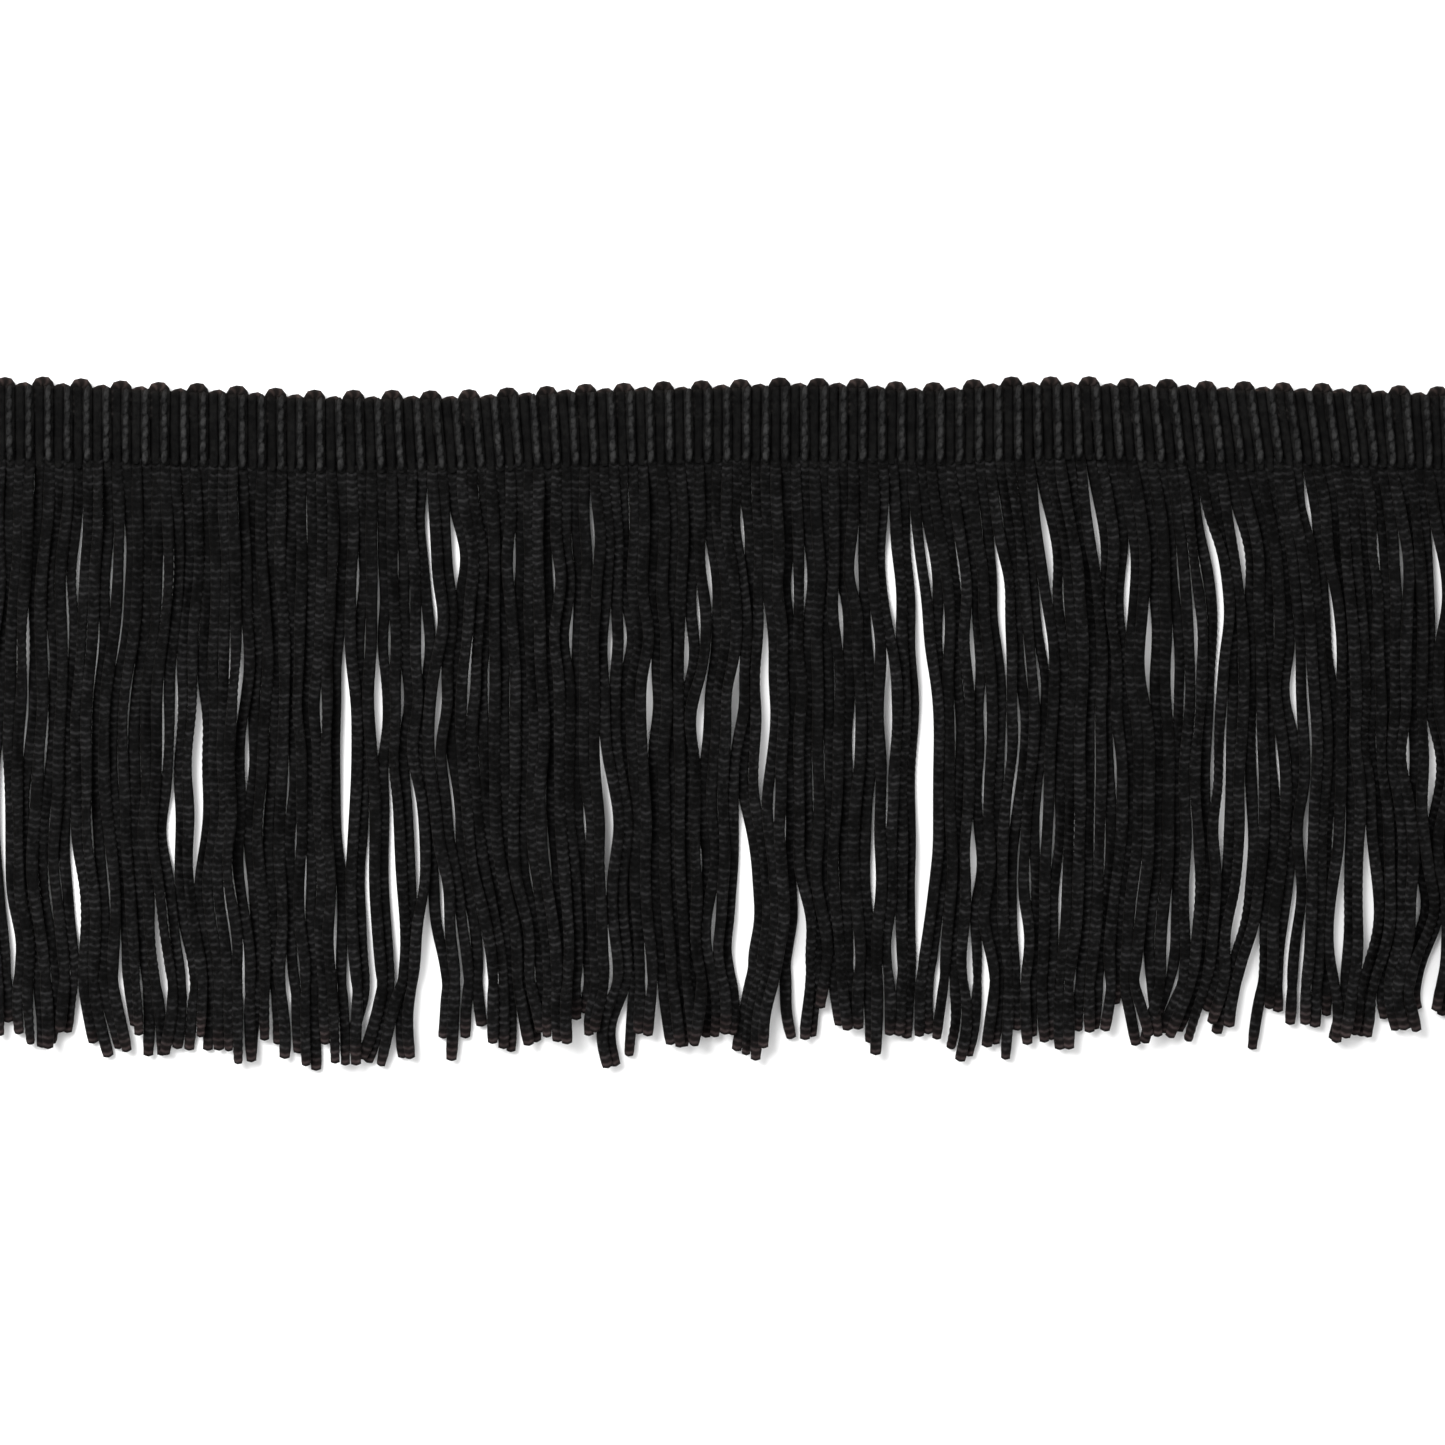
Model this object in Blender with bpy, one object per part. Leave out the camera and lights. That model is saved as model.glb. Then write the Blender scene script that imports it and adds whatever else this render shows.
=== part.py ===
"""A black chainette fringe trim, lying flat: a ribbed heading band and its hanging strands.

X runs along the trim, +Y points from the cut tips to the heading, and Z is up from the
surface that the trim lies on. Two strands leave the heading under each rib, one lying over
the gap beside the other, so each layer of them is one solid, fused at its roots into a
narrow strip along the heading's lower edge.
"""

import math
import random
from collections import namedtuple

import bmesh
import bpy
import numpy as np

# Sizes and places are in millimetres, and become metres as the points are placed.
MM = 0.001
SEED = 12

# Heading band
RIB_COUNT = 81
RIB_PITCH = 2.85
BAND_LENGTH = RIB_COUNT * RIB_PITCH
ROPE_HEIGHT = 2.6
SMOOTH_HEIGHT = 2.3
VALLEY_HEIGHT = 1.8
TOP_EDGE_HEIGHT = 1.4
LOOP_RISE = 1.0
LOOP_WIDTH = 3.7
RIBS_PER_LOOP = 2
FIRST_LOOP = 1.5 * RIB_PITCH
COLUMNS_PER_RIB = 4
ROW_PLACES = (0.0, 0.08, 0.5, 1.0)

# Strands
STRANDS_PER_RIB = 2
STRAND_COUNT = RIB_COUNT * STRANDS_PER_RIB
STRAND_PITCH = RIB_PITCH / STRANDS_PER_RIB
STRAND_WIDTH = 1.62
STRAND_TOP_WIDTH = 1.1
STRAND_HEIGHT = 1.05
STRAND_GAP = 0.16
PIECE_GAP = 0.3
STRIP_DEPTH = 1.2
TIP_SHARE = 0.6
TIP_SCATTER = 1.4
LONGEST_TIP = -51.0
LAYERS = ("fringe_lower", "fringe_upper")

# The heights at which every strand has a section, from its root down to the bunched line
SECTION_HEIGHTS = (32.5, 21.5, 10.0, -2.0, -14.0, -26.0, -37.0)
# A basting stitch, since pulled out, once bunched the strands on the last of these lines.
BUNCH_PITCH = 8.5
BUNCH_PULL = 0.25
BUNCH_REACH = 9.0
SPLAY = 0.7
WOBBLE = 0.16
WOBBLE_LENGTHS = (34.0, 62.0)
# A slit or an end moves its neighbours rather than being moved by them.
FIRM = 40.0
# Below 1 a slit is blunter at its ends than a sine.
SLIT_BLUNTNESS = 0.6
END_STOP = BAND_LENGTH / 2 + 0.2

BLACK = (0.0075, 0.0074, 0.0085, 1.0)

# The band's edges and lean along its length; lean is how far a rib's foot lies to the right.
Section = namedtuple("Section", "x top bottom lean")
SECTIONS = [
    Section(-116, 51, 39, 0),
    Section(-100, 51, 38.5, 0),
    Section(-77, 50, 38, 0),
    Section(-60, 49, 37, 0),
    Section(-38, 49, 37.5, 1),
    Section(-20, 50, 38, 0.5),
    Section(-3, 50.5, 38.5, 0),
    Section(14, 51, 38.5, 0),
    Section(31, 50, 38.5, 0),
    Section(42, 51, 38.5, 0),
    Section(53, 51, 39, 0.5),
    Section(69, 50.5, 38, 1.5),
    Section(90, 50, 38, 1.5),
    Section(105, 49.5, 37.5, 0.5),
    Section(116, 49.5, 37, 0),
]
SECTION_EASE = (-4.0, -2.0, 0.0, 2.0, 4.0)

# How far the strands under each place of the band drift sideways, by depth below the band
DRIFT_DEPTHS = (12, 25, 40, 58, 72, 88)
Drift = namedtuple("Drift", "x at_12 at_25 at_40 at_58 at_72 at_88")
DRIFTS = [
    Drift(-116, 0.0, -0.3, -0.8, -0.7, -0.3, 0.0),
    Drift(-106, -0.3, -1.2, -2.4, -2.2, -0.6, 0.0),
    Drift(-98, 0.1, -0.5, -2.4, -2.2, -0.8, -0.4),
    Drift(-90, 0.6, 0.6, -0.6, -0.8, 0.2, 0.6),
    Drift(-78, 0.2, 0.2, -0.6, -1.4, 0.2, 0.8),
    Drift(-65, 0.3, 0.3, 0.2, 0.2, 1.0, 1.4),
    Drift(-52, 0.3, 0.2, 0.2, 0.3, 0.6, 0.8),
    Drift(-46, 0.4, 0.6, 0.0, 0.3, 1.2, 2.4),
    Drift(-38, 0.5, 0.5, 0.2, 1.4, 5.0, 5.4),
    Drift(-30, 0.3, 0.3, 0.0, 1.4, 4.6, 4.8),
    Drift(-22, 0.2, 0.3, 0.2, 0.6, 1.6, 1.4),
    Drift(-8, 0.1, 0.1, 0.1, 0.1, 0.5, 0.4),
    Drift(6, 0.3, 1.0, 0.0, -0.2, 1.0, 1.2),
    Drift(20, 0.3, 0.8, 0.6, 0.2, 0.4, 0.8),
    Drift(27, 0.4, 2.4, 3.6, 2.6, 2.0, 1.8),
    Drift(38, 1.5, 3.0, 3.2, 2.6, 2.4, 2.4),
    Drift(50, 2.6, 3.4, 3.2, 2.8, 2.4, 2.2),
    Drift(62, 1.4, 2.4, 2.4, 2.2, 0.8, 0.0),
    Drift(74, 1.4, 2.8, 3.2, 3.0, 0.8, -1.4),
    Drift(85, 2.2, 3.0, 3.4, 3.6, 2.8, 2.0),
    Drift(95, 1.6, 2.2, 2.6, 3.2, 3.6, 2.6),
    Drift(104, 0.8, 1.4, 1.8, 2.0, 0.4, -2.0),
    Drift(116, 0.0, 0.2, 0.5, 0.5, 0.0, -0.5),
]

# The larger slits between strands, where the surface below shows
Slit = namedtuple("Slit", "y_top y_bottom x_top x_middle x_bottom width")
SLITS = [
    Slit(-5, -25, -106, -106, -105.5, 1),
    Slit(-21, -34, -95, -95, -95, 1),
    Slit(-26, -46, -84, -82.5, -81, 1),
    Slit(-10, -21, -79.5, -81, -81, 2),
    Slit(4, -23, -76.5, -77, -78, 1.5),
    Slit(0, -11, -70.5, -70.5, -70.5, 1),
    Slit(-35, -43, -65, -64, -63.5, 1),
    Slit(12, -21, -56, -55.5, -56, 2),
    Slit(10, -5, -51, -50.5, -50.5, 1.5),
    Slit(-8, -52, -51, -51, -51, 1),
    Slit(-7, -40, -48.5, -48.5, -47.5, 1.5),
    Slit(-5, -28, -46.5, -46, -45.5, 1),
    Slit(-26, -54, -45, -43.5, -43, 5),
    Slit(29, 20, -39.5, -39, -39, 2),
    Slit(-5, -23, -17.5, -17, -17, 1.5),
    Slit(8, -2, -10.5, -10.5, -10.5, 1.5),
    Slit(5, -4, -3.5, -3.5, -3.5, 2),
    Slit(27, 17, -2.5, -2, -1.5, 1),
    Slit(-11, -41, 3, 3.5, 4.5, 3.5),
    Slit(17, -13, 6, 6.5, 5, 1.5),
    Slit(-22, -47, 10, 10.5, 11, 2.5),
    Slit(30, 12, 24, 25, 26, 1.5),
    Slit(10, -6, 25, 25, 24.5, 1.5),
    Slit(27, -35, 27, 29.5, 28.5, 3),
    Slit(-15, -25, 36.5, 37, 37.5, 1.5),
    Slit(16, 5, 36, 37, 37.5, 1),
    Slit(26, 18, 39.5, 41, 42, 1),
    Slit(34, 21, 46.5, 48, 50, 1.5),
    Slit(-27, -35, 43.5, 44, 44.5, 1.5),
    Slit(33, 22, 53.5, 55, 56, 1),
    Slit(18, 4, 62, 62.5, 62, 1.5),
    Slit(-35, -42, 62.5, 62, 61, 2),
    Slit(29, 12, 72, 73, 74, 1),
    Slit(-26, -34, 76.5, 75.5, 74.5, 2),
    Slit(-31, -45, 78.5, 77.5, 76, 3),
    Slit(35, 28, 85, 86, 87, 1.5),
    Slit(-20, -38, 90.5, 91, 90, 2),
    Slit(-16, -34, 94, 95, 94.5, 2),
    Slit(-1, -16, 103, 104, 104.5, 1.5),
    Slit(-23, -31, 101.5, 102, 101.5, 2),
    Slit(-31, -43, 105.5, 104, 101, 3),
]

# The cut edge: how low the strands reach along the trim
Tip = namedtuple("Tip", "x y")
TIPS = [
    Tip(-116, -46), Tip(-106, -45.5), Tip(-99, -49), Tip(-96, -46), Tip(-91, -50),
    Tip(-86, -46), Tip(-80, -48), Tip(-74, -46), Tip(-70, -50.5), Tip(-68, -47),
    Tip(-61, -51), Tip(-58, -47), Tip(-52, -51), Tip(-41, -50), Tip(-36, -43),
    Tip(-31, -50), Tip(-21, -44), Tip(-17, -51), Tip(-12, -47), Tip(0, -46),
    Tip(4, -49), Tip(13, -46), Tip(17, -44), Tip(31, -47), Tip(36, -50),
    Tip(46, -47), Tip(50, -48), Tip(57, -43), Tip(61, -48), Tip(70, -44),
    Tip(76, -48), Tip(81, -43), Tip(90, -47), Tip(97, -44), Tip(104, -42),
    Tip(106, -45.5), Tip(116, -45.5),
]


def clear_scene():
    for item in list(bpy.data.objects):
        bpy.data.objects.remove(item, do_unlink=True)


def yarn_material(name):
    material = bpy.data.materials.new(name)
    material.use_nodes = True
    shader = material.node_tree.nodes["Principled BSDF"]
    shader.inputs["Base Color"].default_value = BLACK
    shader.inputs["Roughness"].default_value = 0.62
    shader.inputs["Metallic"].default_value = 0.0
    return material


def add_part(bm, name, collection):
    """Keeps a finished mesh as a sub-part with its own material."""
    bmesh.ops.recalc_face_normals(bm, faces=bm.faces)
    mesh = bpy.data.meshes.new(name)
    bm.to_mesh(mesh)
    bm.free()
    mesh.materials.append(yarn_material(name + "_yarn"))
    part = bpy.data.objects.new(name, mesh)
    collection.objects.link(part)
    return part


def band(column, x):
    """One column of SECTIONS at x, eased so that the band bends without corners."""
    places = [row.x for row in SECTIONS]
    values = [getattr(row, column) for row in SECTIONS]
    return float(np.mean(np.interp(np.array(SECTION_EASE) + x, places, values)))


def loop_share(x):
    """1 on the crest of a loop of the top edge, 0 between two loops."""
    period = RIBS_PER_LOOP * RIB_PITCH
    away = (x + BAND_LENGTH / 2 - FIRST_LOOP + period / 2) % period - period / 2
    return max(0.0, math.cos(math.pi * away / LOOP_WIDTH)) if abs(away) < LOOP_WIDTH / 2 else 0.0


def make_heading(collection):
    """A grid raised into ribs, its rim drawn down to the surface and closed below."""
    rib_heights = (VALLEY_HEIGHT, SMOOTH_HEIGHT, VALLEY_HEIGHT, ROPE_HEIGHT)
    columns = RIB_COUNT * COLUMNS_PER_RIB
    rows = len(ROW_PLACES) - 1
    bm = bmesh.new()
    bmesh.ops.create_grid(bm, x_segments=columns, y_segments=rows, size=0.5)
    for vert in bm.verts:
        column = round((vert.co.x + 0.5) * columns)
        down = ROW_PLACES[round((0.5 - vert.co.y) * rows)]
        x = (column / columns - 0.5) * BAND_LENGTH
        loops = LOOP_RISE * (loop_share(x) - 1)
        top = band("top", x) + loops
        height = TOP_EDGE_HEIGHT if down == 0 else rib_heights[column % COLUMNS_PER_RIB]
        vert.co.x = (x + band("lean", x) * down) * MM
        vert.co.y = (top + (band("bottom", x) - top) * down) * MM
        vert.co.z = height * MM
    rim = [edge for edge in bm.edges if edge.is_boundary]
    walls = bmesh.ops.extrude_edge_only(bm, edges=rim)["geom"]
    foot = [item for item in walls if isinstance(item, bmesh.types.BMEdge)]
    for item in walls:
        if isinstance(item, bmesh.types.BMVert):
            item.co.z = 0.0
    bmesh.ops.holes_fill(bm, edges=foot, sides=0)
    return add_part(bm, "heading", collection)


def drift(x, depth):
    """How far a strand that is rooted at x has drifted sideways at a depth."""
    depths = (0, *DRIFT_DEPTHS)
    shifts = [np.interp(depth, depths, (0.0, *row[1:])) for row in DRIFTS]
    return float(np.interp(x, [row.x for row in DRIFTS], shifts))


def slit_centre(slit, y):
    """The middle of a slit at y, on one curve through its top, middle and bottom."""
    t = (slit.y_top - y) / (slit.y_top - slit.y_bottom)
    ends = slit.x_top * (1 - t) + slit.x_bottom * t
    bow = slit.x_middle - (slit.x_top + slit.x_bottom) / 2
    return ends + bow * 4 * t * (1 - t)


def slit_width(slit, y):
    """A slit's width at y: nothing at its ends and full in its middle."""
    t = (slit.y_top - y) / (slit.y_top - slit.y_bottom)
    return slit.width * math.sin(math.pi * t) ** SLIT_BLUNTNESS if 0 < t < 1 else 0.0


def keep_apart(wanted, room, hold):
    """Moves a row of things as little as can be, so that each has its room in its order."""
    starts = [0.0]
    for before, after in zip(room, room[1:]):
        starts.append(starts[-1] + (before + after) / 2)
    groups = []
    for want, start, weight in zip(wanted, starts, hold):
        group = (want - start, weight, 1)
        while groups and groups[-1][0] >= group[0]:
            place, before, size = groups.pop()
            both = before + group[1]
            group = ((place * before + group[0] * group[1]) / both, both, size + group[2])
        groups.append(group)
    places = [place for place, _, size in groups for _ in range(size)]
    return [place + start for place, start in zip(places, starts)]


class Strand:
    """One strand's root and its own slight wander."""

    def __init__(self, x, rng):
        self.root = x + band("lean", x)
        self.top = band("bottom", x)
        self.waves = [(rng.uniform(*WOBBLE_LENGTHS), rng.uniform(0, math.tau)) for _ in range(2)]
        self.splay = rng.uniform(-SPLAY, SPLAY)
        self.short = rng.uniform(0, TIP_SCATTER)

    def wanted(self, y):
        """Where the strand would lie at y if no other strand or slit moved it."""
        depth = max(0.0, self.top - y)
        wander = sum(math.sin(math.tau * depth / length + start) for length, start in self.waves)
        x = self.root + drift(self.root, depth) + WOBBLE * wander
        below_bunch = SECTION_HEIGHTS[-1] - y
        bunch = (math.floor(x / BUNCH_PITCH) + 0.5) * BUNCH_PITCH
        x += BUNCH_PULL * (bunch - x) * math.exp(-((below_bunch / BUNCH_REACH) ** 2))
        return x + self.splay * max(0.0, below_bunch / BUNCH_REACH)


def lay_out(strands, y):
    """The strands' places at y: in order, apart, and clear of the slits and the ends.

    Neighbours belong to unlike layers, so they only keep half a strand's room.
    """
    room = (STRAND_WIDTH + STRAND_GAP) / 2
    row = [(-1, -END_STOP, 2 * STRAND_WIDTH - room, FIRM)]
    row += [(index, strand.wanted(y), room, 1.0) for index, strand in enumerate(strands)]
    row += [(len(strands), END_STOP, 2 * STRAND_WIDTH - room, FIRM)]
    for slit in SLITS:
        width = slit_width(slit, y)
        if width > 0:
            middle = (slit.y_top + slit.y_bottom) / 2
            centre = slit_centre(slit, middle)
            rank = sum(strand.wanted(middle) < centre for strand in strands) - 0.5
            row.append((rank, slit_centre(slit, y), width + STRAND_WIDTH - room, FIRM))
    row.sort()
    places = keep_apart([r[1] for r in row], [r[2] for r in row], [r[3] for r in row])
    return [place for place, item in zip(places, row) if item[3] != FIRM]


def extrude_each(bm, faces):
    """Draws every face out by itself, and gives the new faces from left to right."""
    grown = bmesh.ops.extrude_discrete_faces(bm, faces=faces)["faces"]
    return sorted(grown, key=lambda face: face.calc_center_median().x)


def place_section(face, centre, y, floor, share=1.0):
    """Puts an end face's corners on a strand's trapezoid section."""
    middle = face.calc_center_median()
    for vert in face.verts:
        side = 1 if vert.co.x > middle.x else -1
        upper = vert.co.z > middle.z
        half = (STRAND_TOP_WIDTH if upper else STRAND_WIDTH) / 2 * share
        height = STRAND_HEIGHT * share if upper else 0.0
        vert.co = ((centre + side * half) * MM, y * MM, (floor + height) * MM)


def make_strip(bm, floor):
    """A narrow strip that follows the heading's lower edge; gives its faces towards the tips."""
    bmesh.ops.create_grid(bm, x_segments=RIB_COUNT, y_segments=1, size=0.5)
    for vert in bm.verts:
        x = vert.co.x * BAND_LENGTH
        front = band("bottom", x) - PIECE_GAP - STRIP_DEPTH
        z = floor + (STRAND_HEIGHT if vert.co.y > 0 else 0.0)
        vert.co = ((x + band("lean", x)) * MM, front * MM, z * MM)
    faces = list(bm.faces)
    grown = bmesh.ops.extrude_face_region(bm, geom=faces, use_keep_orig=True)["geom"]
    back = [item for item in grown if isinstance(item, bmesh.types.BMVert)]
    bmesh.ops.translate(bm, vec=(0.0, STRIP_DEPTH * MM, 0.0), verts=back)
    return faces


def make_layer(name, floor, strands, rows, far_places, collection):
    """One layer of the fringe: its strip, with a strand drawn out under each rib."""
    bm = bmesh.new()
    ends = make_strip(bm, floor)
    for y, places in rows:
        ends = extrude_each(bm, ends)
        for face, place in zip(ends, places):
            place_section(face, place, y, floor)
    last_y, last_places = rows[-1]
    ends = extrude_each(bm, ends)
    for face, strand, near, far in zip(ends, strands, last_places, far_places):
        cut = np.interp(far, [tip.x for tip in TIPS], [tip.y for tip in TIPS]) + strand.short
        y = max(cut, LONGEST_TIP)
        share = (last_y - y) / (last_y - LONGEST_TIP)
        place_section(face, near + (far - near) * share, y, floor, TIP_SHARE)
    return add_part(bm, name, collection)


def make_fringe(collection):
    """Lays all the strands out together, then makes each layer of them."""
    rng = random.Random(SEED)
    strands = [Strand((index + 0.5) * STRAND_PITCH - BAND_LENGTH / 2, rng)
               for index in range(STRAND_COUNT)]
    rows = [(y, lay_out(strands, y)) for y in SECTION_HEIGHTS]
    far_places = lay_out(strands, LONGEST_TIP)
    step = len(LAYERS)
    for layer, name in enumerate(LAYERS):
        floor = layer * (STRAND_HEIGHT + PIECE_GAP)
        layer_rows = [(y, places[layer::step]) for y, places in rows]
        make_layer(name, floor, strands[layer::step], layer_rows, far_places[layer::step], collection)


def main():
    clear_scene()
    collection = bpy.data.collections.new("fringe_trim")
    bpy.context.scene.collection.children.link(collection)
    make_heading(collection)
    make_fringe(collection)


main()
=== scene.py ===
import math
import random

import bpy
import numpy as np
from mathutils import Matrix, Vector


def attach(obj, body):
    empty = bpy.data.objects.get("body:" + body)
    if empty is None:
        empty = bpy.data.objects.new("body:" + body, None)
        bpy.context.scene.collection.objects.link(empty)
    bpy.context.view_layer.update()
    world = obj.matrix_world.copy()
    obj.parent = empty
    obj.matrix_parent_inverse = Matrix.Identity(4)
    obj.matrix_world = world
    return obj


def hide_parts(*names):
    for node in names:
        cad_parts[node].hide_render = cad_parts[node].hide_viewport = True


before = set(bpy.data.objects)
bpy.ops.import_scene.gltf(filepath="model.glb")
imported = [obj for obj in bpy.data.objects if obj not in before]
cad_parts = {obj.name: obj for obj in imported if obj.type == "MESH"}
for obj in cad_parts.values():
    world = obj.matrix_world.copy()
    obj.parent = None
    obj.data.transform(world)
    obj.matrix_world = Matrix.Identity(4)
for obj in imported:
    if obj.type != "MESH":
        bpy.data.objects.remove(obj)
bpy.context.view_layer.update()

scene = bpy.context.scene
mm = 0.001  # all sizes below are in millimetres, and become metres where points are placed


# What the whole trim shares: its ribs, and how its two edges run along it
trim = {
    "ribs": 81,
    "ribPitch": 2.85,
    "seed": 12,
    "ease": (-4.0, -2.0, 0.0, 2.0, 4.0),  # the places around x that an edge is averaged over
    # x, top edge, lower edge, and how far the foot of a rib lies to the right
    "run": [
        (-116, 51, 39, 0), (-100, 51, 38.5, 0), (-77, 50, 38, 0), (-60, 49, 37, 0),
        (-38, 49, 37.5, 1), (-20, 50, 38, 0.5), (-3, 50.5, 38.5, 0), (14, 51, 38.5, 0),
        (31, 50, 38.5, 0), (42, 51, 38.5, 0), (53, 51, 39, 0.5), (69, 50.5, 38, 1.5),
        (90, 50, 38, 1.5), (105, 49.5, 37.5, 0.5), (116, 49.5, 37, 0),
    ],
}
trim["length"] = trim["ribs"] * trim["ribPitch"]


def edgeAt(column, x):
    # 1 is the top edge, 2 the lower edge and 3 the lean, eased so that no corner shows
    places = [row[0] for row in trim["run"]]
    values = [row[column] for row in trim["run"]]
    return float(np.mean(np.interp(np.array(trim["ease"]) + x, places, values)))


def pickOnly(obj):
    if bpy.context.object and bpy.context.object.mode != "OBJECT":
        bpy.ops.object.mode_set(mode="OBJECT")
    bpy.ops.object.select_all(action="DESELECT")
    obj.select_set(True)
    bpy.context.view_layer.objects.active = obj


def pickPoints(obj, test):
    # leaves the object in edit mode with only the points that pass the test
    bpy.ops.object.mode_set(mode="EDIT")
    bpy.ops.mesh.select_mode(type="VERT")
    bpy.ops.mesh.select_all(action="DESELECT")
    bpy.ops.object.mode_set(mode="OBJECT")
    for point in obj.data.vertices:
        point.select = test(point.co / mm)
    bpy.ops.object.mode_set(mode="EDIT")


def pointsOf(part):
    places = np.empty(len(part.data.vertices) * 3, np.float32)
    part.data.vertices.foreach_get("co", places)
    return places.reshape(-1, 3) / mm


def setShare(part, name, values):
    # one number from 0 to 1 at each point, for the materials to read
    share = part.data.attributes.new(name, "FLOAT", "POINT")
    full = np.zeros(len(part.data.vertices), np.float32) + np.clip(values, 0, 1)
    share.data.foreach_set("value", full.astype(np.float32))


# One stitch of the chainette: two lobes side by side, narrow where it meets the next stitch
chainStitch = {"pitch": 1.08, "width": 1.74, "height": 1.06, "sides": 12, "creaseShadeAmount": 1.0,
               "waist": 0.99, "waistHeight": 0.50, "vee": 0.22, "groove": 0.09}
# The weft in the band is the same yarn, packed so tight that its stitches hardly show
weftStitch = {"pitch": 1.08, "width": 1.72, "height": 1.5, "sides": 12, "creaseShadeAmount": 0.12,
              "waist": 0.97, "waistHeight": 0.97, "vee": 0.1, "groove": 0.0}
# The loops' yarn is the chainette drawn tight
loopStitch = {**chainStitch, "waistHeight": 0.8, "waist": 0.9}
# Where a stitch is taken hold of: its end rings, its inner half and its middle line; and how
# near the ends of two stitches lie to be joined
grip = {"ends": 0.3, "inner": 0.2875, "middle": 0.05, "creaseMiddle": 0.3, "join": 0.01}


def makeStitch(name, make):
    long = make["pitch"]
    bpy.ops.object.select_all(action="DESELECT")
    bpy.ops.mesh.primitive_cylinder_add(
        vertices=make["sides"], radius=0.5 * mm, depth=long * mm, end_fill_type="NOTHING",
        location=(long / 2 * mm, 0, 0), rotation=(0, math.pi / 2, 0))
    stitch = bpy.context.object
    stitch.name = name
    bpy.ops.object.transform_apply(location=True, rotation=True, scale=True)
    bpy.ops.object.mode_set(mode="EDIT")
    bpy.ops.mesh.select_all(action="SELECT")
    bpy.ops.mesh.bisect(plane_co=(long / 2 * mm, 0, 0), plane_no=(1, 0, 0))
    bpy.ops.mesh.select_all(action="SELECT")
    bpy.ops.transform.resize(value=(1, make["width"], make["height"]),
                             center_override=(long / 2 * mm, 0, 0))
    pickPoints(stitch, lambda p: abs(p.x - long / 2) > grip["ends"] * long)
    bpy.ops.transform.resize(value=(1, make["waist"], make["waistHeight"]),
                             center_override=(long / 2 * mm, 0, 0))
    if make["groove"]:
        pickPoints(stitch, lambda p: abs(p.y) < grip["middle"] and p.z > 0)
        bpy.ops.transform.translate(value=(0, 0, -make["groove"] * mm))
        pickPoints(stitch, lambda p: abs(p.y) < grip["middle"] and p.z < 0)
        bpy.ops.transform.translate(value=(0, 0, make["groove"] * mm))
    # the middle is drawn forward twice, so that each row of stitches looks like a flat V
    pickPoints(stitch, lambda p: abs(p.y) < grip["inner"] * make["width"])
    bpy.ops.transform.translate(value=(make["vee"] / 2 * mm, 0, 0))
    pickPoints(stitch, lambda p: abs(p.y) < grip["middle"])
    bpy.ops.transform.translate(value=(make["vee"] / 2 * mm, 0, 0))
    bpy.ops.object.mode_set(mode="OBJECT")
    bpy.ops.object.shade_smooth()
    # the crease share marks where two stitches meet, and the material darkens the colour there:
    # painted shade in the crease
    places = pointsOf(stitch)
    forward = make["vee"] * (np.abs(places[:, 1]) < grip["creaseMiddle"])
    off = np.abs((places[:, 0] - forward) / long - 0.5)
    setShare(stitch, "paintedCreaseShade", (off > grip["ends"]) * make["creaseShadeAmount"])
    return stitch


# One bead of a rope: the binding thread where it passes over a rib, lying aslant
bead = {"pitch": 2.0, "long": 2.4, "width": 0.92, "height": 0.84, "slant": 8, "count": 6,
        "sides": 10, "rings": 6, "clear": 0.4, "creaseShadeAmount": 0.75}


def makeBead():
    bpy.ops.object.select_all(action="DESELECT")
    bpy.ops.mesh.primitive_uv_sphere_add(
        segments=bead["sides"], ring_count=bead["rings"], radius=0.5 * mm,
        location=(bead["pitch"] / 2 * mm, 0, 0), rotation=(0, math.pi / 2, 0))
    one = bpy.context.object
    one.name = "bead"
    bpy.ops.object.transform_apply(location=True, rotation=True, scale=True)
    bpy.ops.object.mode_set(mode="EDIT")
    bpy.ops.mesh.select_all(action="SELECT")
    centre = (bead["pitch"] / 2 * mm, 0, 0)
    bpy.ops.transform.resize(value=(bead["long"], bead["width"], bead["height"]),
                             center_override=centre)
    bpy.ops.transform.rotate(value=math.radians(bead["slant"]), orient_axis="Z",
                             center_override=centre)
    bpy.ops.object.mode_set(mode="OBJECT")
    bpy.ops.object.shade_smooth()
    # the thread dives under at both ends of the bead, and its colour is darkened there: painted
    # shade
    off = np.abs(pointsOf(one)[:, 0] - bead["pitch"] / 2) / (bead["long"] / 2)
    setShare(one, "paintedCreaseShade", (off - bead["clear"]) * bead["creaseShadeAmount"])
    return one


def lengthOf(path):
    return float(np.sum(np.linalg.norm(np.diff(np.array(path), axis=0), axis=1)))


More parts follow.
